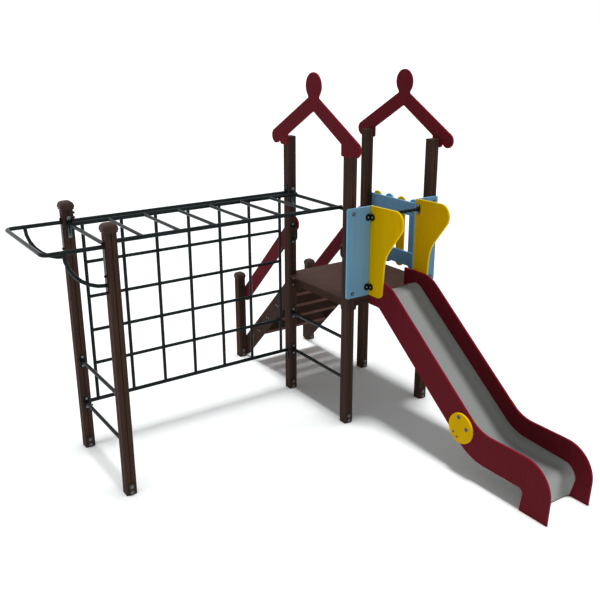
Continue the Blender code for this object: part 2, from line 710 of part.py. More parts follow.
def slide_side_outline():
    """Side board from the head of its upper edge, down the front, round the foot and back up underneath."""
    slope = math.tan(SLIDE_PITCH)
    face = FRONT_FACE_Y
    top_start = face - SLIDE_HEAD_FRONT
    top_valley = top_start - (SLIDE_HEAD_Z - SLIDE_RUNOUT_Z) / slope
    low_start = face - SLIDE_UNDER_HEAD_FRONT
    under_head = DECK_TOP - SLIDE_UNDER_DECK_TOP
    low_valley = low_start - (under_head - SLIDE_RUNOUT_UNDER_Z) / slope
    on_deck = DECK_TOP + CLEARANCE
    return rounded([
        (face + SLIDE_HEAD_BACK, SLIDE_HEAD_Z, SLIDE_HEAD_CORNER),
        (face + SLIDE_HEAD_BACK, on_deck, SLIDE_HEAD_CORNER),
        (face - CLEARANCE, on_deck, 0),
        (face - CLEARANCE, under_head, SLIDE_UNDER_BACK_CORNER),
        (low_start, under_head, SLIDE_UNDER_FRONT_CORNER),
        (low_valley, SLIDE_RUNOUT_UNDER_Z, SLIDE_UNDER_RADIUS),
        (face - SLIDE_FOOT_INNER, SLIDE_RUNOUT_UNDER_Z, SLIDE_FOOT_RADIUS),
        (face - SLIDE_FOOT_BACK, 0, 0),
        (face - SLIDE_FOOT_FRONT, 0, 0),
        (face - SLIDE_NOSE_FRONT, SLIDE_RUNOUT_Z, SLIDE_NOSE_RADIUS),
        (top_valley, SLIDE_RUNOUT_Z, SLIDE_VALLEY_RADIUS),
        (top_start, SLIDE_HEAD_Z, SLIDE_HEAD_RADIUS),
    ])


def chute_corners():
    """The corners of the chute's floor line, from the deck to its exit: y, z, bend, height of the sides."""
    slope = math.tan(SLIDE_PITCH)
    face = FRONT_FACE_Y
    head_z = DECK_TOP + CLEARANCE + CHUTE_SHEET
    crease_y = face - CHUTE_CREASE_FRONT
    crease_z = head_z - CHUTE_HEAD_FALL
    floor_z = SLIDE_RUNOUT_Z - CHUTE_BELOW_RUNOUT
    exit_y = face - CHUTE_EXIT_FRONT
    return [
        (face + CHUTE_HEAD_OVERLAP, head_z, 0, CHUTE_SIDE_AT_HEAD),
        (face - CLEARANCE, head_z, 0, CHUTE_SIDE_AT_DECK_EDGE),
        (crease_y, crease_z, CHUTE_CREASE_BEND, CHUTE_SIDE_AT_CREASE),
        (crease_y - (crease_z - floor_z) / slope, floor_z, CHUTE_VALLEY_BEND, CHUTE_SIDE_HEIGHT),
        (exit_y, floor_z, CHUTE_EXIT_BEND, CHUTE_SIDE_AT_EXIT_BEND),
        (exit_y - CHUTE_EXIT_LEAN, CHUTE_EXIT_Z, 0, CHUTE_SIDE_AT_HEAD),
    ]


def chute_section(side_height):
    """Across the chute: a flat floor whose two sides turn up to stand against the side boards."""
    half = SLIDE_INNER_WIDTH / 2 - CLEARANCE - CHUTE_SHEET
    flat = half - CHUTE_SIDE_WIDTH
    right = [(flat * n / CHUTE_FLOOR_STEPS, 0.0) for n in range(CHUTE_FLOOR_STEPS)]
    for n in range(CHUTE_SIDE_STEPS + 1):
        angle = math.pi / 2 * n / CHUTE_SIDE_STEPS
        right.append((flat + CHUTE_SIDE_WIDTH * math.sin(angle), side_height * (1 - math.cos(angle))))
    return [(-x, height) for x, height in right[:0:-1]] + right


def build_chute():
    """The sheet is lofted through its cross sections, which are square to the floor line."""
    corners = chute_corners()
    arcs = corner_arcs([corner[:3] for corner in corners])
    line = [(point, corner[3]) for arc, corner in zip(arcs, corners) for point in arc]
    bm = bmesh.new()
    sections = []
    for n, (point, side_height) in enumerate(line):
        ahead = (line[min(n + 1, len(line) - 1)][0] - line[max(n - 1, 0)][0]).normalized()
        up = Vector((ahead.y, -ahead.x))
        section = []
        for x, height in chute_section(side_height):
            spot = point + up * height
            section.append(bm.verts.new((SLIDE_CENTRE_X + x, spot.x, spot.y)))
        sections.append(section)
    for upper, lower in zip(sections, sections[1:]):
        for n in range(len(upper) - 1):
            bm.faces.new((upper[n], lower[n], lower[n + 1], upper[n + 1]))
    chute = mesh_object("chute", bm)
    chute.data.materials.append(finish("chute_finish", STEEL))
    parts.objects.link(chute)
    sheet = chute.modifiers.new("sheet", "SOLIDIFY")
    sheet.thickness = CHUTE_SHEET
    sheet.offset = -1
    chute.data.shade_smooth()


def build_chute_rods():
    """Rods from side board to side board, that the slope of the chute rests on."""
    crease, valley = (Vector(corner[:2]) for corner in chute_corners()[2:4])
    along = (valley - crease).normalized()
    under = Vector((-along.y, along.x)) * (CHUTE_ROD_TUBE / 2 + CHUTE_SHEET + CLEARANCE)
    reach = SLIDE_INNER_WIDTH / 2 - CLEARANCE
    for place, share in CHUTE_ROD_SHARES:
        spot = crease + (valley - crease) * share + under
        left, right = (SLIDE_CENTRE_X - reach, *spot), (SLIDE_CENTRE_X + reach, *spot)
        weldment(f"chute_rod_{place}", [straight_tube("rod", left, right, CHUTE_ROD_TUBE)], TUBE_GREY)


def build_slide():
    outline = slide_side_outline()
    out = SLIDE_INNER_WIDTH / 2 + PANEL_THICKNESS / 2
    for name, x in (("slide_side_left", SLIDE_CENTRE_X - out), ("slide_side_right", SLIDE_CENTRE_X + out)):
        board(name, outline, ACROSS_X, (x, 0, 0), PANEL_THICKNESS, RED)
    build_chute()
    build_chute_rods()
    disc_x = out + PANEL_THICKNESS + CLEARANCE
    spoke = Vector((DISC_DIAMETER / 2, 0))
    disc = [Matrix.Rotation(math.tau * n / DISC_STEPS, 2) @ spoke for n in range(DISC_STEPS)]
    for name, x in (("disc_left", SLIDE_CENTRE_X - disc_x), ("disc_right", SLIDE_CENTRE_X + disc_x)):
        board(name, disc, ACROSS_X, (x, FRONT_FACE_Y - DISC_FRONT, DISC_Z), PANEL_THICKNESS, YELLOW)


# Tubes on the posts

def plate_at(outline, frame, x, y, z, thickness=PLATE_THICKNESS):
    return plate_member("plate", outline, frame, (x, y, z), thickness)


def build_ladder():
    middle_y = -TOWER_SIDE / 2
    ys = (middle_y + LADDER_RAIL_SPACING / 2, middle_y - LADDER_RAIL_SPACING / 2)
    members = [straight_tube("rail", (LADDER_X, y, LADDER_Z), (0, y, LADDER_Z), LADDER_RAIL_TUBE)
               for y in ys]
    for number in range(1, LADDER_RUNG_COUNT + 1):
        x = LADDER_X + LADDER_LENGTH * number / (LADDER_RUNG_COUNT + 1)
        members.append(straight_tube("rung", (x, ys[0], LADDER_Z), (x, ys[1], LADDER_Z),
                                     LADDER_RUNG_TUBE, THIN_TUBE_SIDES))
    back_y = -POST_FACE - PLATE_THICKNESS / 2
    front_y = -TOWER_SIDE - back_y
    bar_z = LADDER_Z - LADDER_BAR_DROP
    outline = round_ended(PLATE_WIDTH, *LADDER_PLATE_SPAN)
    for x in (LADDER_X, 0):
        members.append(straight_tube("bar", (x, back_y, bar_z), (x, front_y, bar_z), LADDER_BAR_TUBE))
        for y in (back_y, front_y):
            members.append(plate_at(outline, ACROSS_Y, x, y, LADDER_Z))
    weldment("overhead_ladder", members, TUBE_GREY)


def build_reach_bar():
    plate_x = LADDER_X - POST_FACE - PLATE_THICKNESS / 2
    bend_x = LADDER_X - REACH_LENGTH + REACH_CORNER
    back = Vector((bend_x, -REACH_CORNER, LADDER_Z))
    front = Vector((bend_x, -TOWER_SIDE + REACH_CORNER, LADDER_Z))
    along, across = Vector((1, 0, 0)), Vector((0, 1, 0))
    route = [Vector((plate_x, 0, LADDER_Z))]
    route += arc_points(back, REACH_CORNER, math.pi / 2, math.pi, along, across)
    route += arc_points(front, REACH_CORNER, math.pi, math.pi * 1.5, along, across)
    route.append(Vector((plate_x, -TOWER_SIDE, LADDER_Z)))
    members = [bent_tube("reach", route, REACH_TUBE)]
    outline = round_ended(PLATE_WIDTH, *REACH_PLATE_SPAN)
    out = plate_x - LADDER_X + BRACE_OUT
    for y in (0, -TOWER_SIDE):
        members.append(plate_at(outline, ACROSS_X, plate_x, y, LADDER_Z))
        brace = []
        for step in range(BRACE_STEPS + 1):
            angle = math.pi / 2 * step / BRACE_STEPS
            brace.append((plate_x - out * math.cos(angle), y, LADDER_Z - BRACE_DROP * math.sin(angle)))
        members.append(bent_tube("brace", brace, BRACE_TUBE))
    weldment("reach_bar", members, TUBE_GREY)


def build_grid():
    left = LADDER_X + POST_FACE + PLATE_THICKNESS / 2
    right = LADDER_X - left
    members = [straight_tube("rail", (left, 0, z), (right, 0, z), GRID_RAIL_TUBE, THIN_TUBE_SIDES)
               for z in (LADDER_Z, GRID_LOW_Z)]
    first = LADDER_X / 2 - GRID_UPRIGHT_PITCH * (GRID_INNER_UPRIGHTS - 1) / 2
    xs = [first + n * GRID_UPRIGHT_PITCH for n in range(GRID_INNER_UPRIGHTS)]
    ends = (LADDER_X + GRID_END_INSET, -GRID_END_INSET)
    for x in (*ends, *xs):
        members.append(straight_tube("upright", (x, 0, GRID_LOW_Z), (x, 0, LADDER_Z),
                                     GRID_BAR_TUBE, THIN_TUBE_SIDES))
    for number in range(GRID_BAR_COUNT):
        z = GRID_LOW_Z + GRID_FIRST_BAR_RISE + number * GRID_BAR_PITCH
        members.append(straight_tube("bar", (ends[0], 0, z), (ends[1], 0, z),
                                     GRID_BAR_TUBE, THIN_TUBE_SIDES))
    for z, span in ((LADDER_Z, GRID_TOP_PLATE_SPAN), (GRID_LOW_Z, GRID_LOW_PLATE_SPAN)):
        outline = round_ended(PLATE_WIDTH, *span)
        for x in (left, right):
            members.append(plate_at(outline, ACROSS_X, x, 0, z))
    weldment("climbing_grid", members, TUBE_GREY)


def build_rungs():
    back_y = -POST_FACE - FLANGE_THICKNESS / 2
    front_y = -TOWER_SIDE - back_y
    width, height = RUNG_PLATE_SIZE
    outline = round_ended(width, -height / 2, height / 2)
    for place, x in (("ladder", LADDER_X), ("tower", 0)):
        for level, z in RUNG_LEVELS:
            members = [straight_tube("rung", (x, back_y, z), (x, front_y, z), RUNG_TUBE)]
            for y in (back_y, front_y):
                members.append(plate_at(outline, ACROSS_Y, x, y, z, FLANGE_THICKNESS))
            weldment(f"rung_{place}_{level}", members, TUBE_GREY)


def build_handles():
    high_end = LADDER_Z + LADDER_PLATE_SPAN[0] - HANDLE_BELOW_LADDER
    high_bolt = high_end - HANDLE_PLATE_WIDTH / 2
    low_bolt = high_bolt - HANDLE_BOLT_SPACING
    low_end = low_bolt - HANDLE_PLATE_WIDTH / 2
    low_z, high_z = low_bolt + HANDLE_GRIP_INSET, high_bolt - HANDLE_GRIP_INSET
    for name, foot_y, out in (("grab_handle_back", -POST_FACE - FLANGE_THICKNESS / 2, -1),
                              ("grab_handle_front", -TOWER_SIDE + POST_FACE + FLANGE_THICKNESS / 2, 1)):
        outward, up = Vector((0, out, 0)), Vector((0, 0, 1))
        bend_y = foot_y + out * (HANDLE_STANDOFF - HANDLE_BEND)
        high_bend = Vector((0, bend_y, high_z - HANDLE_BEND))
        low_bend = Vector((0, bend_y, low_z + HANDLE_BEND))
        route = [Vector((0, foot_y, high_z))]
        route += arc_points(high_bend, HANDLE_BEND, math.pi / 2, 0, outward, up)
        route += arc_points(low_bend, HANDLE_BEND, 0, -math.pi / 2, outward, up)
        route.append(Vector((0, foot_y, low_z)))
        members = [bent_tube("grip", route, HANDLE_TUBE)]
        for low in (low_end, high_end - HANDLE_PLATE_LENGTH):
            outline = round_ended(HANDLE_PLATE_WIDTH, low, low + HANDLE_PLATE_LENGTH)
            members.append(plate_at(outline, ACROSS_Y, 0, foot_y, 0, FLANGE_THICKNESS))
        weldment(name, members, TUBE_GREY)


build_posts()
build_deck()
build_stair()
build_gables()
build_railing()
build_entrance()
build_slide()
build_ladder()
build_reach_bar()
build_grid()
build_rungs()
build_handles()
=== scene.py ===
"""Looks of a play structure: a tower with a stair, a slide, an overhead ladder and a climbing grid.

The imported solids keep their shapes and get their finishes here. The bolts, screws, straps and
brackets that hold them together are added over them. Lengths are in metres.
"""
import math

import bmesh
import bpy
from mathutils import Matrix, Vector


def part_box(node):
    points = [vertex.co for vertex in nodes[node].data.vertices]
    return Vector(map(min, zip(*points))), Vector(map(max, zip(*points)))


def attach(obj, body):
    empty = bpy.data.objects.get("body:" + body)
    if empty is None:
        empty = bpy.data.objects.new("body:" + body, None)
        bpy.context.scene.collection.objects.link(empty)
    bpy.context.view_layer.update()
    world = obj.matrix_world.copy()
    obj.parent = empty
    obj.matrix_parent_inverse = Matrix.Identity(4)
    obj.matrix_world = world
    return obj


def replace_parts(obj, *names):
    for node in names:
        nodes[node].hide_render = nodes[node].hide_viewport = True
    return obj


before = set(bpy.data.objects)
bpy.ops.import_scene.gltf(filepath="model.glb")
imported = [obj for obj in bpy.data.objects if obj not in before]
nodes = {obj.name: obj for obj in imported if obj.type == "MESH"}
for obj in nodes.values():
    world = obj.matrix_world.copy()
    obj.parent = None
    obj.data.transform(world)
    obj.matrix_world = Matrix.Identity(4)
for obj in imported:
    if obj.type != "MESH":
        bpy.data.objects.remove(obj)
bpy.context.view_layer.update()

MM = 0.001

# Outward directions
LEFT, RIGHT = Vector((-1, 0, 0)), Vector((1, 0, 0))
FRONT, BACK = Vector((0, -1, 0)), Vector((0, 1, 0))
UP = Vector((0, 0, 1))


# ---------------------------------------------------------------- materials

def linear(code):
    """The linear colour of an sRGB hex code."""
    parts = [int(code[i:i + 2], 16) / 255 for i in (1, 3, 5)]
    return [c / 12.92 if c <= 0.04045 else ((c + 0.055) / 1.055) ** 2.4 for c in parts] + [1.0]


def add(tree, kind, settings=None, values=None, links=None):
    """Adds one node with its settings, the values of its inputs, and what is linked into them."""
    made = tree.nodes.new(kind)
    for name, value in (settings or {}).items():
        setattr(made, name, value)
    for name, value in (values or {}).items():
        made.inputs[name].default_value = value
    for name, source in (links or {}).items():
        tree.links.new(source, made.inputs[name])
    return made


def new_material(name):
    """An empty material with its tree, its Object coordinates and its shader."""
    material = bpy.data.materials.new(name)
    material.use_nodes = True
    tree = material.node_tree
    tree.nodes.clear()
    place = add(tree, "ShaderNodeTexCoord").outputs["Object"]
    shader = add(tree, "ShaderNodeBsdfPrincipled")
    add(tree, "ShaderNodeOutputMaterial", links={"Surface": shader.outputs["BSDF"]})
    return material, tree, place, shader


KERF_HALF_WIDTH = 2.5 * MM
# The kerf's colour is painted shade, the shade that lies in a post's groove
KERF_PAINTED_SHADE = "#1A1210"


def coated_timber(name, colour, streak, grain_axis=2, tilt=0.0, kerfs=()):
    """Glazed softwood: long soft streaks of the glaze and a fine raised grain along the piece.

    It gives the eye a half-matt brown that is never quite even. Sawn relief kerfs run up the
    middle of a post's front and back, at the x of its centre, each darkened by a band of painted
    shade, the shade that lies in the groove. Real ones are 3 mm wide, these bands 5."""
    material, tree, place, shader = new_material(name)
    stretch = [1 / (7 * MM)] * 3
    stretch[grain_axis] = 1 / (240 * MM)
    turned = add(tree, "ShaderNodeMapping", values={"Rotation": (tilt, 0, 0)},
                 links={"Vector": place})
    along = add(tree, "ShaderNodeMapping", values={"Scale": stretch},
                links={"Vector": turned.outputs["Vector"]})
    grain = add(tree, "ShaderNodeTexNoise",
                values={"Scale": 1.0, "Detail": 5.0, "Roughness": 0.6},
                links={"Vector": along.outputs["Vector"]})
    cloud = add(tree, "ShaderNodeTexNoise", values={"Scale": 2.2, "Detail": 2.0},
                links={"Vector": place})
    mixed = add(tree, "ShaderNodeMix", {"data_type": "FLOAT"},
                {0: 0.35, 3: 0.0}, {2: grain.outputs["Fac"], 3: cloud.outputs["Fac"]})
    spread = add(tree, "ShaderNodeMapRange",
                 values={"From Min": 0.36, "From Max": 0.64},
                 links={"Value": mixed.outputs[0]})
    paint = add(tree, "ShaderNodeMix", {"data_type": "RGBA"},
                {6: linear(colour), 7: linear(streak)}, {0: spread.outputs["Result"]})
    x = add(tree, "ShaderNodeSeparateXYZ", links={"Vector": place}).outputs["X"]
    # Painted shade: a dark band down each kerf
    for centre in kerfs:
        inside = add(tree, "ShaderNodeMath", {"operation": "COMPARE"},
                     {1: centre, 2: KERF_HALF_WIDTH}, {0: x})
        paint = add(tree, "ShaderNodeMix", {"data_type": "RGBA"}, {7: linear(KERF_PAINTED_SHADE)},
                    {0: inside.outputs["Value"], 6: paint.outputs[2]})
    relief = add(tree, "ShaderNodeBump", values={"Strength": 0.25, "Distance": 0.4 * MM},
                 links={"Height": grain.outputs["Fac"]})
    sheen = add(tree, "ShaderNodeMapRange", values={"To Min": 0.46, "To Max": 0.62},
                links={"Value": grain.outputs["Fac"]})
    tree.links.new(paint.outputs[2], shader.inputs["Base Color"])
    tree.links.new(sheen.outputs["Result"], shader.inputs["Roughness"])
    tree.links.new(relief.outputs["Normal"], shader.inputs["Normal"])
    shader.inputs["IOR"].default_value = 1.48
    shader.inputs["Specular IOR Level"].default_value = 0.03
    return material


PRINT_PITCH = 6 * MM
WAVE_TURN = 20  # Blender's wave texture repeats every 2 pi / 20 at scale 1


def antislip_deck(name, colour, streak):
    """Phenolic-faced deck board: a diagonal wire-mesh print 6 mm apart under a matt resin film.

    Real prints are 2 to 3 mm apart; this one is coarser so that it shows from across a
    playground."""
    material, tree, place, shader = new_material(name)
    turned = add(tree, "ShaderNodeMapping", values={"Rotation": (0, 0, math.radians(45))},
                 links={"Vector": place})
    ridges = []
    for direction in ("X", "Y"):
        ridges.append(add(tree, "ShaderNodeTexWave",
                          {"wave_type": "BANDS", "bands_direction": direction},
                          {"Scale": 2 * math.pi / PRINT_PITCH / WAVE_TURN, "Distortion": 0.0},
                          {"Vector": turned.outputs["Vector"]}).outputs["Fac"])
    mesh = add(tree, "ShaderNodeMath", {"operation": "MULTIPLY"},
               links={0: ridges[0], 1: ridges[1]})
    cloud = add(tree, "ShaderNodeTexNoise", values={"Scale": 9.0, "Detail": 4.0},
                links={"Vector": place})
    wear = add(tree, "ShaderNodeMapRange", values={"From Min": 0.35, "From Max": 0.68},
               links={"Value": cloud.outputs["Fac"]})
    paint = add(tree, "ShaderNodeMix", {"data_type": "RGBA"},
                {6: linear(colour), 7: linear(streak)}, {0: wear.outputs["Result"]})
    relief = add(tree, "ShaderNodeBump", values={"Strength": 0.5, "Distance": 0.6 * MM},
                 links={"Height": mesh.outputs["Value"]})
    tree.links.new(paint.outputs[2], shader.inputs["Base Color"])
    tree.links.new(relief.outputs["Normal"], shader.inputs["Normal"])
    shader.inputs["Roughness"].default_value = 0.62
    shader.inputs["IOR"].default_value = 1.5
    shader.inputs["Specular IOR Level"].default_value = 0.06
    return material


def cut_sheet(name, colour, edge, face_axis, streak):
    """Polyethylene sheet shaped on a router: an orange-peel face and a smoother edge.

    The face shows faint upright extrusion lines. The edge's brighter colour is painted highlight,
    the light that the edges catch from the lamp above."""
    material, tree, place, shader = new_material(name)
    peel = add(tree, "ShaderNodeTexNoise", values={"Scale": 1 / (5 * MM), "Detail": 2.0},
               links={"Vector": place})
    drawn = add(tree, "ShaderNodeMapping", values={"Scale": (1 / (16 * MM), 1 / (16 * MM), 1.2)},
                links={"Vector": place})
    lines = add(tree, "ShaderNodeTexNoise", values={"Scale": 1.0, "Detail": 2.0},
                links={"Vector": drawn.outputs["Vector"]})
    band = add(tree, "ShaderNodeMapRange",
               values={"From Min": 0.35, "From Max": 0.65},
               links={"Value": lines.outputs["Fac"]})
    face = add(tree, "ShaderNodeMix", {"data_type": "RGBA"},
               {6: linear(colour), 7: linear(streak)}, {0: band.outputs["Result"]})
    side = add(tree, "ShaderNodeSeparateXYZ",
               links={"Vector": add(tree, "ShaderNodeNewGeometry").outputs["True Normal"]})
    flat = add(tree, "ShaderNodeMath", {"operation": "ABSOLUTE"},
               links={0: side.outputs[face_axis]})
    # Painted highlight: where the normal turns off the face, the brighter edge colour takes over
    edge_with_painted_highlight = add(tree, "ShaderNodeMapRange",
              values={"From Min": 0.55, "From Max": 0.95, "To Min": 1.0, "To Max": 0.0},
              links={"Value": flat.outputs["Value"]})
    paint = add(tree, "ShaderNodeMix", {"data_type": "RGBA"}, {7: linear(edge)},
                {0: edge_with_painted_highlight.outputs["Result"], 6: face.outputs[2]})
    relief = add(tree, "ShaderNodeBump", values={"Strength": 0.12, "Distance": 0.35 * MM},
                 links={"Height": peel.outputs["Fac"]})
    sheen = add(tree, "ShaderNodeMapRange", values={"To Min": 0.52, "To Max": 0.34},
                links={"Value": edge_with_painted_highlight.outputs["Result"]})
    tree.links.new(paint.outputs[2], shader.inputs["Base Color"])
    tree.links.new(sheen.outputs["Result"], shader.inputs["Roughness"])
    tree.links.new(relief.outputs["Normal"], shader.inputs["Normal"])
    shader.inputs["IOR"].default_value = 1.5
    shader.inputs["Specular IOR Level"].default_value = 0.02
    return material


def moulded_plastic(name, colour, speck, roughness=0.5, grit=1.6):
    """Injection-moulded plastic: a fine spark-eroded texture, grit mm wide, and a soft sheen."""
    material, tree, place, shader = new_material(name)
    skin = add(tree, "ShaderNodeTexNoise", values={"Scale": 1 / (grit * MM), "Detail": 3.0},
               links={"Vector": place})
    cloud = add(tree, "ShaderNodeTexNoise", values={"Scale": 14.0, "Detail": 2.0},
                links={"Vector": place})
    paint = add(tree, "ShaderNodeMix", {"data_type": "RGBA"},
                {6: linear(colour), 7: linear(speck)}, {0: cloud.outputs["Fac"]})
    relief = add(tree, "ShaderNodeBump", values={"Strength": 0.3, "Distance": 0.2 * MM},
                 links={"Height": skin.outputs["Fac"]})
    tree.links.new(paint.outputs[2], shader.inputs["Base Color"])
    tree.links.new(relief.outputs["Normal"], shader.inputs["Normal"])
    shader.inputs["Roughness"].default_value = roughness
    shader.inputs["IOR"].default_value = 1.5
    shader.inputs["Specular IOR Level"].default_value = 0.1
    return material


def powder_coat(name, colour, worn):
    """Polyester powder coat over steel: a 2.5 mm orange peel, a satin gloss and a chalky bloom."""
    material, tree, place, shader = new_material(name)
    peel = add(tree, "ShaderNodeTexNoise", values={"Scale": 1 / (2.5 * MM), "Detail": 2.0},
               links={"Vector": place})
    bloom = add(tree, "ShaderNodeTexNoise",
                values={"Scale": 6.0, "Detail": 5.0, "Roughness": 0.65},
                links={"Vector": place})
    worn_at = add(tree, "ShaderNodeMapRange", values={"From Min": 0.4, "From Max": 0.7},
                  links={"Value": bloom.outputs["Fac"]})
    paint = add(tree, "ShaderNodeMix", {"data_type": "RGBA"},
                {6: linear(colour), 7: linear(worn)}, {0: worn_at.outputs["Result"]})
    relief = add(tree, "ShaderNodeBump", values={"Strength": 0.25, "Distance": 0.2 * MM},
                 links={"Height": peel.outputs["Fac"]})
    sheen = add(tree, "ShaderNodeMapRange", values={"To Min": 0.16, "To Max": 0.26},
                links={"Value": bloom.outputs["Fac"]})
    tree.links.new(paint.outputs[2], shader.inputs["Base Color"])
    tree.links.new(sheen.outputs["Result"], shader.inputs["Roughness"])
    tree.links.new(relief.outputs["Normal"], shader.inputs["Normal"])
    shader.inputs["IOR"].default_value = 1.5
    shader.inputs["Specular IOR Level"].default_value = 0.1
    return material


def drawn_stainless(name, colour, shade, tilt):
    """Cold-drawn stainless sheet, dulled by use: fine lengthwise lines and a broad satin sheen."""
    material, tree, place, shader = new_material(name)
    turned = add(tree, "ShaderNodeMapping", values={"Rotation": (tilt, 0, 0)},
                 links={"Vector": place})
    along = add(tree, "ShaderNodeMapping",
                values={"Scale": (1 / (3 * MM), 1 / (700 * MM), 1 / (3 * MM))},
                links={"Vector": turned.outputs["Vector"]})
    lines = add(tree, "ShaderNodeTexNoise",
                values={"Scale": 1.0, "Detail": 4.0, "Roughness": 0.6},
                links={"Vector": along.outputs["Vector"]})
    paint = add(tree, "ShaderNodeMix", {"data_type": "RGBA"},
                {6: linear(shade), 7: linear(colour)}, {0: lines.outputs["Fac"]})
    sheen = add(tree, "ShaderNodeMapRange", values={"To Min": 0.6, "To Max": 0.72},
                links={"Value": lines.outputs["Fac"]})
    relief = add(tree, "ShaderNodeBump", values={"Strength": 0.08, "Distance": 0.1 * MM},
                 links={"Height": lines.outputs["Fac"]})
    tree.links.new(paint.outputs[2], shader.inputs["Base Color"])
    tree.links.new(sheen.outputs["Result"], shader.inputs["Roughness"])
    tree.links.new(relief.outputs["Normal"], shader.inputs["Normal"])
    shader.inputs["Metallic"].default_value = 0.15
    shader.inputs["Specular IOR Level"].default_value = 0.1
    return material


def plated_steel(name, colour, stain):
    """Zinc-plated steel: a plate clouded every 9 mm or so, with a soft shine."""
    material, tree, place, shader = new_material(name)
    cloud = add(tree, "ShaderNodeTexNoise", values={"Scale": 1 / (9 * MM), "Detail": 4.0},
                links={"Vector": place})
    paint = add(tree, "ShaderNodeMix", {"data_type": "RGBA"},
                {6: linear(colour), 7: linear(stain)}, {0: cloud.outputs["Fac"]})
    sheen = add(tree, "ShaderNodeMapRange", values={"To Min": 0.3, "To Max": 0.5},
                links={"Value": cloud.outputs["Fac"]})
    tree.links.new(paint.outputs[2], shader.inputs["Base Color"])
    tree.links.new(sheen.outputs["Result"], shader.inputs["Roughness"])
    shader.inputs["Metallic"].default_value = 1.0
    return material


STAIR_SLOPE = math.radians(45.6)
SLIDE_SLOPE = math.radians(38.6)
POST_ROWS = (-2.32, 0.0, 1.0)  # x of the posts' centres

# Posts: a deep brown glaze, uneven along the grain, with painted shade down each kerf
glazed_post = coated_timber("glazed_pine_posts", "#4C382F", "#3D2C25", kerfs=POST_ROWS)
# Deck beams and risers: the same glaze in painted shade, darker where they lie under the deck
# and the treads, with its grain along y or x
beam_glaze_painted_shade = coated_timber("glazed_pine_beams_painted_shade", "#46332B", "#382821", grain_axis=1)
riser_glaze_painted_shade = coated_timber("glazed_pine_risers_painted_shade", "#42302A", "#35261F", grain_axis=0)
# Treads: the glaze painted paler and redder, a painted light for the light that their rear
# edges catch between the steps
tread_glaze_painted_light = coated_timber("glazed_pine_treads_painted_light", "#84635A", "#735246", grain_axis=0)
# Stringers: the posts' glaze with its grain up the slope
glazed_stringer = coated_timber("glazed_pine_stringers", "#4A352D", "#3A2923", 1, STAIR_SLOPE)
# Caps: brown plastic, evener and duller than the glaze beside it
cap_plastic = moulded_plastic("moulded_polypropylene_caps", "#46332D", "#3B2A25")
# Deck: a flat matt brown that the mesh print breaks up near by
deck_film = antislip_deck("antislip_phenolic_deck", "#46312A", "#3E2B25")

# Boards of one colour through and through: face, edge (a painted highlight) and extrusion lines
SHEET_COLOURS = {"red": ("#6A1F28", "#8E1527", "#641C25"),
                 "blue": ("#76A7CA", "#80BCE4", "#70A1C3"),
                 "yellow": ("#E3B800", "#FFD400", "#DBAF00")}
sheets = {}
for shade, (face, edge, line) in SHEET_COLOURS.items():
    for axis in ("X", "Y"):
        sheets[shade, axis] = cut_sheet(f"{shade}_polyethylene_sheet_{axis.lower()}", face, edge,
                                        axis, line)

# Tubes: nearly black green-grey with a narrow bright line along them
tube_coat = powder_coat("grey_green_powder_coat", "#121A1C", "#1B2527")
# Chute: a pale grey satin that lets the shadow of the side board lie softly on it
chute_steel = drawn_stainless("drawn_stainless_chute", "#A3A6A3", "#929593", SLIDE_SLOPE)
# Bolts: small light grey glints on the boards and plates, and duller ones at the feet
zinc = plated_steel("zinc_plated_bolts", "#8A9294", "#6F787B")
foot_zinc = plated_steel("weathered_zinc_foot_bolts", "#6B7375", "#565E60")
# Bolts on the yellow boards: a dark blue-grey
dark_zinc = plated_steel("black_zinc_bolts", "#53647A", "#404D60")
# Brackets and cap nuts: a deep black with a soft sheen, also used for painted shadow and shade
black_nylon = moulded_plastic("moulded_black_nylon", "#0E0E0E", "#090909", 0.42, 1.2)
# Plates of the ladder: a paler grey-green than its tubes
plate_coat = powder_coat("grey_coat_of_cast_plates", "#53646A", "#43535A")
# Straps: brown, and told from the posts by their outline alone
coated_strap = moulded_plastic("brown_coated_straps", "#42302A", "#382822", 0.5, 2.2)

FINISHES = {
    "post_": glazed_post, "cap_": cap_plastic, "deck_board": deck_film,
    "deck_beam_left": beam_glaze_painted_shade, "deck_beam_right": beam_glaze_painted_shade,
    "deck_beam_back": riser_glaze_painted_shade, "deck_beam_front": riser_glaze_painted_shade, "deck_bearer": riser_glaze_painted_shade,
    "stringer_": glazed_stringer, "tread_": tread_glaze_painted_light, "riser_": riser_glaze_painted_shade,
    "gable_": sheets["red", "X"], "handrail_": sheets["red", "X"],
    "slide_side_": sheets["red", "X"], "entrance_board_": sheets["blue", "Y"],
    "railing_board_": sheets["blue", "X"], "railing_slat_1": sheets["yellow", "X"],
    "railing_slat_2": sheets["blue", "X"], "railing_slat_3": sheets["yellow", "X"],
    "railing_slat_4": sheets["blue", "X"], "railing_slat_5": sheets["yellow", "X"],
    "fin_": sheets["yellow", "X"], "disc_": sheets["yellow", "X"],
    "chute_rod_": tube_coat, "chute": chute_steel, "climbing_grid": tube_coat,
    "overhead_ladder": tube_coat, "reach_bar": tube_coat, "rung_": tube_coat,
    "grab_handle_": tube_coat, "head_bar": tube_coat,
}


def finish_for(name):
    """The finish with the longest matching start of the node's name."""
    return FINISHES[max((key for key in FINISHES if name.startswith(key)), key=len)]


for name, node in nodes.items():
    for material_slot in node.material_slots:
        material_slot.material = finish_for(name)


# ---------------------------------------------------------------- small parts

def facing(centre, outward):
    """The matrix that puts a part made on the floor at a point, with its top facing outward."""
    return Matrix.Translation(centre) @ Vector(outward).to_track_quat("Z", "Y").to_matrix().to_4x4()


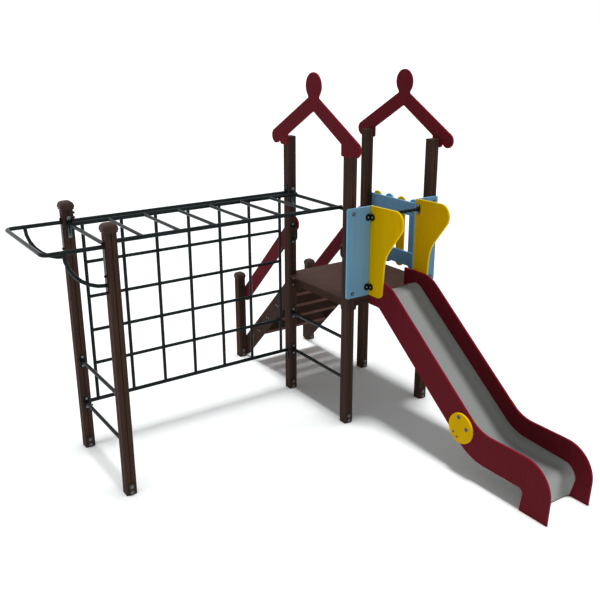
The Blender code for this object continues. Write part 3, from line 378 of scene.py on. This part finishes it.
def put(mesh, part, place):
    """Moves a small part to its place and joins it to the piece's mesh."""
    bmesh.ops.transform(part, matrix=place, verts=part.verts)
    held = bpy.data.meshes.new("part")
    part.to_mesh(held)
    part.free()
    mesh.from_mesh(held)
    bpy.data.meshes.remove(held)


def lathe(mesh, profile, place, steps=20):
    """Spins a line of (radius, height) points about its own axis and moves it to its place."""
    part = bmesh.new()
    line = [part.verts.new((radius, 0, height)) for radius, height in profile]
    edges = [part.edges.new(pair) for pair in zip(line, line[1:])]
    bmesh.ops.spin(part, geom=line + edges, cent=(0, 0, 0), axis=(0, 0, 1), dvec=(0, 0, 0),
                   angle=2 * math.pi, steps=steps, use_merge=True, use_duplicate=False)
    bmesh.ops.remove_doubles(part, verts=part.verts, dist=1e-6)
    put(mesh, part, place)


def plate(mesh, size, thickness, corner, place, segments=6):
    """A flat plate with rounded corners, standing on its underside, with a slightly broken edge."""
    part = bmesh.new()
    bmesh.ops.create_grid(part, x_segments=1, y_segments=1, size=0.5)
    bmesh.ops.scale(part, vec=(size[0], size[1], 1), verts=part.verts)
    bmesh.ops.bevel(part, geom=part.verts[:], offset=corner, segments=segments, profile=0.5,
                    affect="VERTICES", material=-1)
    raised = bmesh.ops.extrude_face_region(part, geom=part.faces[:])["geom"]
    top = [item for item in raised if isinstance(item, bmesh.types.BMVert)]
    bmesh.ops.translate(part, vec=(0, 0, thickness), verts=top)
    rim = [edge for edge in part.edges if all(vert in top for vert in edge.verts)]
    bmesh.ops.bevel(part, geom=rim, offset=thickness * 0.2, segments=2, profile=0.5,
                    affect="EDGES", material=-1)
    put(mesh, part, place)


def piece(name, mesh, material):
    """Turns a finished bmesh into a piece of the object."""
    bmesh.ops.remove_doubles(mesh, verts=mesh.verts, dist=1e-5)
    bmesh.ops.recalc_face_normals(mesh, faces=mesh.faces)
    data = bpy.data.meshes.new(name)
    mesh.to_mesh(data)
    mesh.free()
    data.materials.append(material)
    data.shade_smooth()
    data.set_sharp_from_angle(angle=math.radians(35))
    made = bpy.data.objects.new(name, data)
    bpy.context.scene.collection.objects.link(made)
    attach(made, "root")
    return made


def dome_head(radius, height, socket=True):
    """The profile of a domed bolt head: a straight skirt a quarter of its height, then a dome.

    The socket is round, three tenths as wide as the head and half as deep as it is high."""
    rim = [(radius * math.cos(a), height * (0.25 + 0.75 * math.sin(a)))
           for a in (math.radians(step) for step in (0, 25, 50, 70))]
    if not socket:
        return [(radius, 0)] + rim + [(0, height)]
    return [(radius, 0)] + rim + [(radius * 0.3, height * 0.98), (radius * 0.3, height * 0.5),
                                  (0, height * 0.5)]


def washer(radius, thickness):
    """The profile of a flat washer with a rounded rim, closed on top."""
    return [(radius, 0), (radius, thickness * 0.6), (radius - thickness * 0.4, thickness),
            (0, thickness)]


def raised_profile(profile, height):
    """A profile moved up its axis."""
    return [(radius, level + height) for radius, level in profile]


def bolts(name, places, material, head, under=None, steps=20):
    """One piece with a bolt head, and a washer under it, at every place and direction.

    The head is its radius, its height and whether it has a socket; the washer is its radius and
    its thickness."""
    mesh = bmesh.new()
    for centre, outward in places:
        spot = facing(centre, outward)
        if under:
            lathe(mesh, washer(*under), spot, steps)
            lathe(mesh, raised_profile(dome_head(*head), under[1]), spot, steps)
        else:
            lathe(mesh, dome_head(*head), spot, steps)
    return piece(name, mesh, material)


def middle(name):
    """The centre of a node's box."""
    low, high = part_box(name)
    return (low + high) / 2


SKIN = 0.2 * MM  # the hair's breadth between a fitting and the face that it sits on

left_x, right_x = middle("post_ladder_back").x, middle("post_tower_back_left").x
tower_right_x = middle("post_tower_front_right").x
back_y, front_y = middle("post_tower_back_left").y, middle("post_tower_front_left").y

# Feet: a coated strap on the front face of each post, over a thin black pad of painted shadow that
# rims it, with two bolts and their nuts behind, and a steel side bar at the right-hand posts
STRAP_SIZE, STRAP_THICKNESS, STRAP_Z = (60 * MM, 112 * MM), 4 * MM, 56.5 * MM
SHADOW_PAD_SIZE, SHADOW_PAD_THICKNESS, SHADOW_PAD_Z = (66 * MM, 118 * MM), 1.5 * MM, 59.5 * MM
SIDE_BAR_SIZE, SIDE_BAR_THICKNESS = (50 * MM, 112 * MM), 12 * MM
FOOT_BOLT_LEVELS = (77 * MM, 24 * MM)
strap_mesh, shadow_pad_mesh, bar_mesh = bmesh.new(), bmesh.new(), bmesh.new()
foot_places, foot_nuts = [], []
for post in [name for name in sorted(nodes) if name.startswith("post_")]:
    low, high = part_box(post)
    x, y = middle(post).x, middle(post).y
    # A black pad a little larger than the strap: painted shadow round its edge
    plate(shadow_pad_mesh, SHADOW_PAD_SIZE, SHADOW_PAD_THICKNESS, 6 * MM,
          facing((x, low.y - SKIN, SHADOW_PAD_Z), FRONT), segments=3)
    plate(strap_mesh, STRAP_SIZE, STRAP_THICKNESS, 5 * MM,
          facing((x, low.y - SKIN, STRAP_Z), FRONT), segments=3)
    if x > middle("deck_board").x:
        plate(bar_mesh, SIDE_BAR_SIZE, SIDE_BAR_THICKNESS, 3 * MM,
              facing((high.x + SKIN, y, STRAP_Z), RIGHT), segments=3)
    for z in FOOT_BOLT_LEVELS:
        foot_places.append(((x, low.y - SKIN - STRAP_THICKNESS, z), FRONT))
        foot_nuts.append(((x, high.y + SKIN, z), BACK))
piece("foot_straps", strap_mesh, coated_strap)
piece("foot_shadow_pads", shadow_pad_mesh, black_nylon)
piece("foot_side_bars", bar_mesh, tube_coat)
bolts("foot_bolts", foot_places, foot_zinc, head=(11 * MM, 7 * MM),
      under=(16.5 * MM, 2.5 * MM))
bolts("foot_nuts", foot_nuts, foot_zinc, head=(9 * MM, 6 * MM, False),
      under=(14 * MM, 2 * MM), steps=6)

# Post caps: a short skirt that flares to a lip, a broad round shoulder and a small flat crown.
# Each level is its share of the cap's height above the skirt's foot and of its half width.
CAP_LEVELS = ((0.0, 0.915), (0.2, 0.93), (0.24, 1.0), (0.36, 1.0), (0.56, 0.955), (0.74, 0.86),
              (0.88, 0.70), (0.965, 0.48), (1.0, 0.22))
CAP_CORNER = 0.3             # the plan's corner, as a share of the half width
CAP_SOCKET_HALF = 48 * MM    # the hollow that takes the post's head
CAP_HIGHER = 10 * MM         # how much taller the dome is than the plain solid's
LADDER_LIP = 6 * MM          # how much wider the ladder's caps are, each way


def domed_cap(cap):
    """A hollow cap in place of the plain solid, raised ring by ring from its skirt's outline."""
    low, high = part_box(cap)
    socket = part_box(cap.replace("cap_", "post_"))[1].z - low.z + SKIN
    half = (high.x - low.x) / 2 + (LADDER_LIP if "ladder" in cap else 0)
    height = high.z - low.z + CAP_HIGHER
    mesh = bmesh.new()
    bmesh.ops.create_grid(mesh, x_segments=1, y_segments=1, size=half * CAP_LEVELS[0][1])
    bmesh.ops.bevel(mesh, geom=mesh.verts[:], offset=half * CAP_CORNER, segments=6, profile=0.5,
                    affect="VERTICES", material=-1)
    raised = bmesh.ops.extrude_face_region(mesh, geom=mesh.faces[:])["geom"]
    crown = [item for item in raised if isinstance(item, bmesh.types.BMVert)]
    underside = [face for face in mesh.faces if len(face.verts) > 4
                 and not any(vert in crown for vert in face.verts)]
    for (level, width), (next_level, next_width) in zip(CAP_LEVELS, CAP_LEVELS[1:]):
        if level:
            top = [face for face in mesh.faces if len(face.verts) > 4
                   and all(vert in crown for vert in face.verts)]
            raised = bmesh.ops.extrude_face_region(mesh, geom=top)["geom"]
            crown = [item for item in raised if isinstance(item, bmesh.types.BMVert)]
            bmesh.ops.delete(mesh, geom=top, context="FACES_ONLY")
        bmesh.ops.translate(mesh, vec=(0, 0, (next_level - level) * height), verts=crown)
        bmesh.ops.scale(mesh, vec=(next_width / width, next_width / width, 1), verts=crown)
    bmesh.ops.inset_region(mesh, faces=underside, use_even_offset=True,
                           thickness=half * CAP_LEVELS[0][1] - CAP_SOCKET_HALF)
    raised = bmesh.ops.extrude_face_region(mesh, geom=underside)["geom"]
    inside = [item for item in raised if isinstance(item, bmesh.types.BMVert)]
    bmesh.ops.translate(mesh, vec=(0, 0, socket), verts=inside)
    bmesh.ops.delete(mesh, geom=underside, context="FACES_ONLY")
    bmesh.ops.translate(mesh, vec=(middle(cap).x, middle(cap).y, low.z), verts=mesh.verts)
    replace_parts(piece(f"domed_{cap}", mesh, cap_plastic), cap)


for cap in [name for name in sorted(nodes) if name.startswith("cap_")]:
    domed_cap(cap)

# Plates at the posts: how far their outer faces are from a post's centre, and those that face
# each other between the ladder's two posts and between the tower's left-hand two
POST_HALF, PLATE_CLEARANCE, PLATE_THICKNESS = 47.5 * MM, 0.3 * MM, 6 * MM
PLATE_OUT = POST_HALF + PLATE_CLEARANCE + PLATE_THICKNESS + SKIN
plate_sides = [(x, y, way) for x in (left_x, right_x)
               for y, way in ((back_y - PLATE_OUT, FRONT), (front_y + PLATE_OUT, BACK))]

# Overhead ladder: two large domed heads on each end plate
LADDER_BOLT_LEVELS = (2.2225, 2.0645)
ladder_places = [((x, y, z), way) for z in LADDER_BOLT_LEVELS for x, y, way in plate_sides]
bolts("ladder_plate_bolts", ladder_places, foot_zinc, head=(17 * MM, 12 * MM, False),
      under=(20 * MM, 2.5 * MM), steps=24)

# The same plates: a raised face with a long adjusting slot under the bar, drawn as a black oval
# on the face, a painted shade for the slot's hollow
FACE_SIZE, FACE_THICKNESS, FACE_Z = (36 * MM, 100 * MM), 1.5 * MM, 2.101
SLOT_SHADE_SIZE, SLOT_SHADE_THICKNESS, SLOT_SHADE_Z = (11 * MM, 56 * MM), 2.2 * MM, 2.118
face_mesh, slot_shade_mesh = bmesh.new(), bmesh.new()
for x, y, way in plate_sides:
    plate(face_mesh, FACE_SIZE, FACE_THICKNESS, 17.9 * MM, facing((x, y, FACE_Z), way))
    # Painted shade: a black oval where the slot's hollow is
    plate(slot_shade_mesh, SLOT_SHADE_SIZE, SLOT_SHADE_THICKNESS, 5.4 * MM, facing((x, y, SLOT_SHADE_Z), way))
piece("ladder_plate_faces", face_mesh, plate_coat)
piece("ladder_plate_slot_shades", slot_shade_mesh, black_nylon)

# Reach bar: black cap nuts on the plates of the ladder posts
REACH_BOLT_LEVELS = (2.212, 1.947, 1.813)
reach_places = [((left_x - PLATE_OUT, y, z), LEFT) for y in (back_y, front_y)
                for z in REACH_BOLT_LEVELS]
bolts("reach_plate_bolts", reach_places, black_nylon, head=(10 * MM, 11 * MM, False),
      under=(12 * MM, 3 * MM))

# Climbing grid: black cap nuts over zinc washers on the end brackets
GRID_BOLT_LEVELS = (2.256, 2.214, 0.464, 0.404, 0.366)
GRID_NUT_OUT = 5 * MM  # a nut stands on its washer and the washer's own low dome
grid_places, grid_washers = [], []
for z in GRID_BOLT_LEVELS:
    for x, way in ((left_x + PLATE_OUT, RIGHT), (right_x - PLATE_OUT, LEFT)):
        grid_washers.append(((x, back_y, z), way))
        grid_places.append(((x + way.x * GRID_NUT_OUT, back_y, z), way))
bolts("grid_bracket_bolts", grid_places, black_nylon, head=(9.5 * MM, 14 * MM, False),
      under=(12 * MM, 3 * MM))
bolts("grid_bracket_washers", grid_washers, zinc, head=(10 * MM, 3 * MM, False),
      under=(13 * MM, 2 * MM))

# Loose rungs: two bolts on each oval plate
RUNG_LEVELS, RUNG_BOLT_RISE = (0.465, 0.885), 42 * MM
rung_places = [((x, y, level + rise), way) for x, y, way in plate_sides
               for level in RUNG_LEVELS for rise in (-RUNG_BOLT_RISE, RUNG_BOLT_RISE)]
bolts("rung_plate_bolts", rung_places, zinc, head=(9.5 * MM, 7 * MM),
      under=(12 * MM, 2 * MM))

# Grab handles: one bolt on each plate, on the tower's posts alone
HANDLE_BOLT_LEVELS = (1.857, 1.670)
handle_places = [((x, y, z), way) for x, y, way in plate_sides if x == right_x
                 for z in HANDLE_BOLT_LEVELS]
bolts("handle_bolts", handle_places, foot_zinc, head=(12 * MM, 8 * MM),
      under=(15 * MM, 2 * MM))

# Entrance boards: round heads in a plastic collar on the posts
BOARD_BOLT_LEVELS = (2.146, 1.374)
COLLAR_OUT = 5 * MM  # a collar's height, on which the bolt's head stands
board_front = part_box("entrance_board_left")[0].y - SKIN
board_places = [((x, board_front, z), FRONT) for x in (right_x, tower_right_x)
                for z in BOARD_BOLT_LEVELS]
bolts("entrance_board_collars", board_places, coated_strap, head=(14 * MM, 3 * MM, False),
      under=(19 * MM, 2 * MM), steps=24)
bolts("entrance_board_bolts", [((x, y - COLLAR_OUT, z), way) for (x, y, z), way in board_places],
      zinc, head=(8.5 * MM, 3.5 * MM))

# Corner brackets between each fin and its board: two round lobes folded round the corner
BRACKET_LEVELS = (2.096, 1.414)
LOBE_SIZE, LOBE_THICKNESS, LOBE_CORNER = (60 * MM, 64 * MM), 10 * MM, 27 * MM
LOBE_OUT = 30 * MM       # from the corner to a lobe's middle
LOBE_BOLT_OUT = 3 * MM   # from there to its bolt
bracket_mesh = bmesh.new()
bracket_bolts = []
for fin, outward in (("fin_left", LEFT), ("fin_right", RIGHT)):
    low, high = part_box(fin)
    fin_face = low.x if outward is LEFT else high.x
    for z in BRACKET_LEVELS:
        corner = Vector((fin_face, board_front, z))
        for centre, way, along in ((corner + outward * LOBE_OUT, FRONT, outward),
                                   (corner + outward * SKIN + FRONT * LOBE_OUT, outward, FRONT)):
            turn = Matrix((along, UP, way)).transposed().to_4x4()
            plate(bracket_mesh, LOBE_SIZE, LOBE_THICKNESS, LOBE_CORNER,
                  Matrix.Translation(centre) @ turn)
            bracket_bolts.append((centre + along * LOBE_BOLT_OUT + way * LOBE_THICKNESS, way))
piece("corner_brackets", bracket_mesh, black_nylon)
bolts("corner_bracket_bolts", bracket_bolts, zinc, head=(9 * MM, 6 * MM))

# Head bar: two bolts and their blue-grey faces on each flange, and screws outside the fins
BAR_Y, BAR_Z = -1.106, 2.108
FLANGE_THICKNESS, FLANGE_BOLT_RISE = 4 * MM, 36 * MM
BAR_SCREWS_BACK, BAR_SCREW_LEVELS = 29 * MM, (2.142, 2.050)
flange_places = [(Vector((x, BAR_Y, BAR_Z + rise)) + way * (FLANGE_THICKNESS + 2 * SKIN), way)
                 for x, way in ((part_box("fin_left")[1].x, RIGHT), (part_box("fin_right")[0].x, LEFT))
                 for rise in (-FLANGE_BOLT_RISE, FLANGE_BOLT_RISE)]
bolts("head_flange_bolts", flange_places, zinc, head=(8 * MM, 5 * MM),
      under=(11 * MM, 2.5 * MM))
FLANGE_FACE_SIZE, FLANGE_FACE_THICKNESS = (44 * MM, 28 * MM), 1.2 * MM
flange_mesh = bmesh.new()
for centre, way in flange_places:
    plate(flange_mesh, FLANGE_FACE_SIZE, FLANGE_FACE_THICKNESS, 13 * MM, facing(centre, way))
piece("head_flange_faces", flange_mesh, dark_zinc)
bar_screws = [((x, BAR_Y + BAR_SCREWS_BACK, z), way)
              for x, way in ((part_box("fin_left")[0].x - SKIN, LEFT),
                             (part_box("fin_right")[1].x + SKIN, RIGHT)) for z in BAR_SCREW_LEVELS]
bolts("head_bar_screws", bar_screws, dark_zinc, head=(7.5 * MM, 4 * MM))

# Right-hand cover disc: a little larger than the plain solid, so that its rim shows over the
# board. Its inner edge is broken by 2 mm and its outer edge is rounded by 3 mm.
DISC_WIDER = 10 * MM
low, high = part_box("disc_right")
rim, thick = (high.z - low.z) / 2 + DISC_WIDER, high.x - low.x
disc_mesh = bmesh.new()
lathe(disc_mesh, [(0, 0), (rim - 2 * MM, 0), (rim, 2 * MM), (rim, thick - 3 * MM),
                  (rim - 1 * MM, thick - 1 * MM), (rim - 3 * MM, thick), (0, thick)],
      facing((low.x, middle("disc_right").y, middle("disc_right").z), RIGHT), steps=64)
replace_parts(piece("cover_disc_right", disc_mesh, sheets["yellow", "X"]),
            "disc_right")

# Cover discs: two large bolts and two small screws, at their y and z
DISC_BOLTS = ((-2.346, 0.555), (-2.441, 0.472))
DISC_SCREWS = ((-2.292, 0.396), (-2.338, 0.362))
disc_sides = ((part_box("disc_left")[0].x - SKIN, LEFT), (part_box("disc_right")[1].x + SKIN, RIGHT))
bolts("disc_bolts", [((x, y, z), way) for x, way in disc_sides for y, z in DISC_BOLTS],
      dark_zinc, head=(15 * MM, 9 * MM), under=(19 * MM, 2.5 * MM), steps=24)
bolts("disc_screws", [((x, y, z), way) for x, way in disc_sides for y, z in DISC_SCREWS],
      dark_zinc, head=(11.5 * MM, 6 * MM))

# Stair: screw pairs through the stringers into the treads, at their y and z
STRINGER_SCREWS = ((0.376, 0.84), (0.337, 0.84), (0.576, 0.632), (0.536, 0.632),
                   (0.775, 0.416), (0.738, 0.416))
stringer_places = [((x, y, z), way)
                   for x, way in ((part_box("stringer_left")[0].x - SKIN, LEFT),
                                  (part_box("stringer_right")[1].x + SKIN, RIGHT))
                   for y, z in STRINGER_SCREWS]
bolts("stringer_screws", stringer_places, zinc, head=(7.5 * MM, 4 * MM))

# Stair: one screw in each tread's rear face
TREAD_SCREW_X = 0.64
tread_places = []
for number in range(1, 5):
    low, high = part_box(f"tread_{number}")
    tread_places.append(((TREAD_SCREW_X, low.y - SKIN, (low.z + high.z) / 2), FRONT))
bolts("tread_screws", tread_places, zinc, head=(8 * MM, 4 * MM))

# Deck frame: a coated end plate beside each side beam, held to the post by two bolts
END_PLATE_SIZE, END_PLATE_THICKNESS, END_PLATE_Z = (50 * MM, 106 * MM), 4 * MM, 1.236
END_BOLT_LEVELS = (1.270, 1.204)
END_PLATE_ASIDE = 5 * MM  # from the post's centre, away from the deck
END_BOLT_ASIDE = 8 * MM   # from the plate's centre, back toward the deck
end_plate_mesh = bmesh.new()
end_plate_places = []
for post in ("post_tower_back_left", "post_tower_front_left", "post_tower_back_right",
             "post_tower_front_right"):
    low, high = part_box(post)
    way, y = (FRONT, low.y - SKIN) if "back" in post else (BACK, high.y + SKIN)
    inward = 1 if "left" in post else -1
    x = middle(post).x - inward * END_PLATE_ASIDE
    plate(end_plate_mesh, END_PLATE_SIZE, END_PLATE_THICKNESS, 5 * MM,
          facing((x, y, END_PLATE_Z), way), segments=3)
    for z in END_BOLT_LEVELS:
        end_plate_places.append(
            ((x + inward * END_BOLT_ASIDE, y + way.y * END_PLATE_THICKNESS, z), way))
piece("beam_end_plates", end_plate_mesh, coated_strap)
bolts("beam_end_bolts", end_plate_places, zinc, head=(9 * MM, 6 * MM),
      under=(12 * MM, 1.5 * MM))

# Railing: one countersunk screw through each slat into each board, all but flush with the slat
SUNK, SCREW_HEIGHT = 0.4 * MM, 0.6 * MM
slat_places = []
for number in range(1, 6):
    low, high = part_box(f"railing_slat_{number}")
    for board in ("railing_board_lower", "railing_board_upper"):
        slat_places.append(((high.x - SUNK, (low.y + high.y) / 2, middle(board).z), RIGHT))
bolts("slat_screws", slat_places, zinc, head=(8 * MM, SCREW_HEIGHT, False))


# ---------------------------------------------------------------- camera, light and floor

# The camera's place, and its angles in radians: to the right, down, and about its line of sight
CAMERA_PLACE = (-4.4020, -6.6851, 3.7427)
YAW, PITCH, ROLL = 0.5948, 0.3286, -0.0027
camera_data = bpy.data.cameras.new("camera")
camera_data.sensor_width = 36.0
camera_data.lens = 47.313
camera_data.clip_end = 200.0
camera = bpy.data.objects.new("camera", camera_data)
bpy.context.scene.collection.objects.link(camera)
bpy.context.scene.camera = camera
look = Vector((math.sin(YAW) * math.cos(PITCH), math.cos(YAW) * math.cos(PITCH), -math.sin(PITCH)))
across = Vector((math.cos(YAW), -math.sin(YAW), 0))
above = across.cross(look)
side = math.cos(ROLL) * across + math.sin(ROLL) * above
top = -math.sin(ROLL) * across + math.cos(ROLL) * above
turn = Matrix((side, top, -look)).transposed().to_4x4()
camera.matrix_world = Matrix.Translation(CAMERA_PLACE) @ turn


def softbox(name, strength, width, toward):
    """A distant lamp in the given direction, its width an angle in degrees."""
    data = bpy.data.lights.new(name, "SUN")
    data.energy = strength
    data.angle = math.radians(width)
    lamp = bpy.data.objects.new(name, data)
    bpy.context.scene.collection.objects.link(lamp)
    lamp.rotation_euler = Vector(toward).to_track_quat("Z", "Y").to_euler()
    return lamp


def link_chute(lamp, state):
    """Leaves the chute out of a lamp's light (EXCLUDE) or keeps the lamp for it (INCLUDE)."""
    lit = bpy.data.collections.new(f"{lamp.name}_list")
    lit.objects.link(nodes["chute"])
    lit.collection_objects[0].light_linking.link_state = state
    lamp.light_linking.receiver_collection = lit


# One lamp straight above. One of its own lights the chute from over the right-hand board, whose
# soft shadow darkens the right half of the sheet, and it leaves no bright streak in the bend.
link_chute(softbox("overhead_softbox", 2.45, 11, UP), "EXCLUDE")
chute_lamp = softbox("chute_softbox", 2.35, 18, (0.423, -0.565, 0.707))
chute_lamp.visible_glossy = False
link_chute(chute_lamp, "INCLUDE")


def seen_or_mirrored(tree):
    """1 for the camera's own rays and those that a glossy or clear surface sends on, else 0."""
    path = add(tree, "ShaderNodeLightPath")
    seen = add(tree, "ShaderNodeMath", {"operation": "MAXIMUM"},
               links={0: path.outputs["Is Camera Ray"], 1: path.outputs["Is Glossy Ray"]})
    return add(tree, "ShaderNodeMath", {"operation": "MAXIMUM"},
               links={0: seen.outputs["Value"],
                      1: path.outputs["Is Transmission Ray"]}).outputs["Value"]


# A white room to look at, which gives less light than it shows
ROOM_LIGHT = 0.29
world = bpy.data.worlds.new("studio")
bpy.context.scene.world = world
world.use_nodes = True
tree = world.node_tree
tree.nodes.clear()
level = add(tree, "ShaderNodeMapRange", values={"To Min": ROOM_LIGHT, "To Max": 1.0},
            links={"Value": seen_or_mirrored(tree)})
sky = add(tree, "ShaderNodeBackground", values={"Color": (1, 1, 1, 1)},
          links={"Strength": level.outputs["Result"]})
add(tree, "ShaderNodeOutputWorld", links={"Surface": sky.outputs["Background"]})

# A matt white floor. The camera sees it a little brighter, so that it clips to the background's
# white where it is lit, and a touch cooler, against the boards' red light in the shadows.
FLOOR_SEEN = (1.13, 1.16, 1.16, 1)
floor_mesh = bmesh.new()
bmesh.ops.create_grid(floor_mesh, x_segments=1, y_segments=1, size=60.0)
bmesh.ops.translate(floor_mesh, vec=(0, 0, -0.5 * MM), verts=floor_mesh.verts)
floor_data = bpy.data.meshes.new("floor")
floor_mesh.to_mesh(floor_data)
floor_mesh.free()
floor = bpy.data.objects.new("floor", floor_data)
bpy.context.scene.collection.objects.link(floor)
floor_paint, tree, place, shader = new_material("matt_white_studio_floor")
white = add(tree, "ShaderNodeMix", {"data_type": "RGBA"},
            {6: linear("#FDFDFD"), 7: FLOOR_SEEN}, {0: seen_or_mirrored(tree)})
tree.links.new(white.outputs[2], shader.inputs["Base Color"])
shader.inputs["Roughness"].default_value = 1.0
shader.inputs["Specular IOR Level"].default_value = 0.0
floor_data.materials.append(floor_paint)

bpy.context.scene.view_settings.view_transform = "Standard"
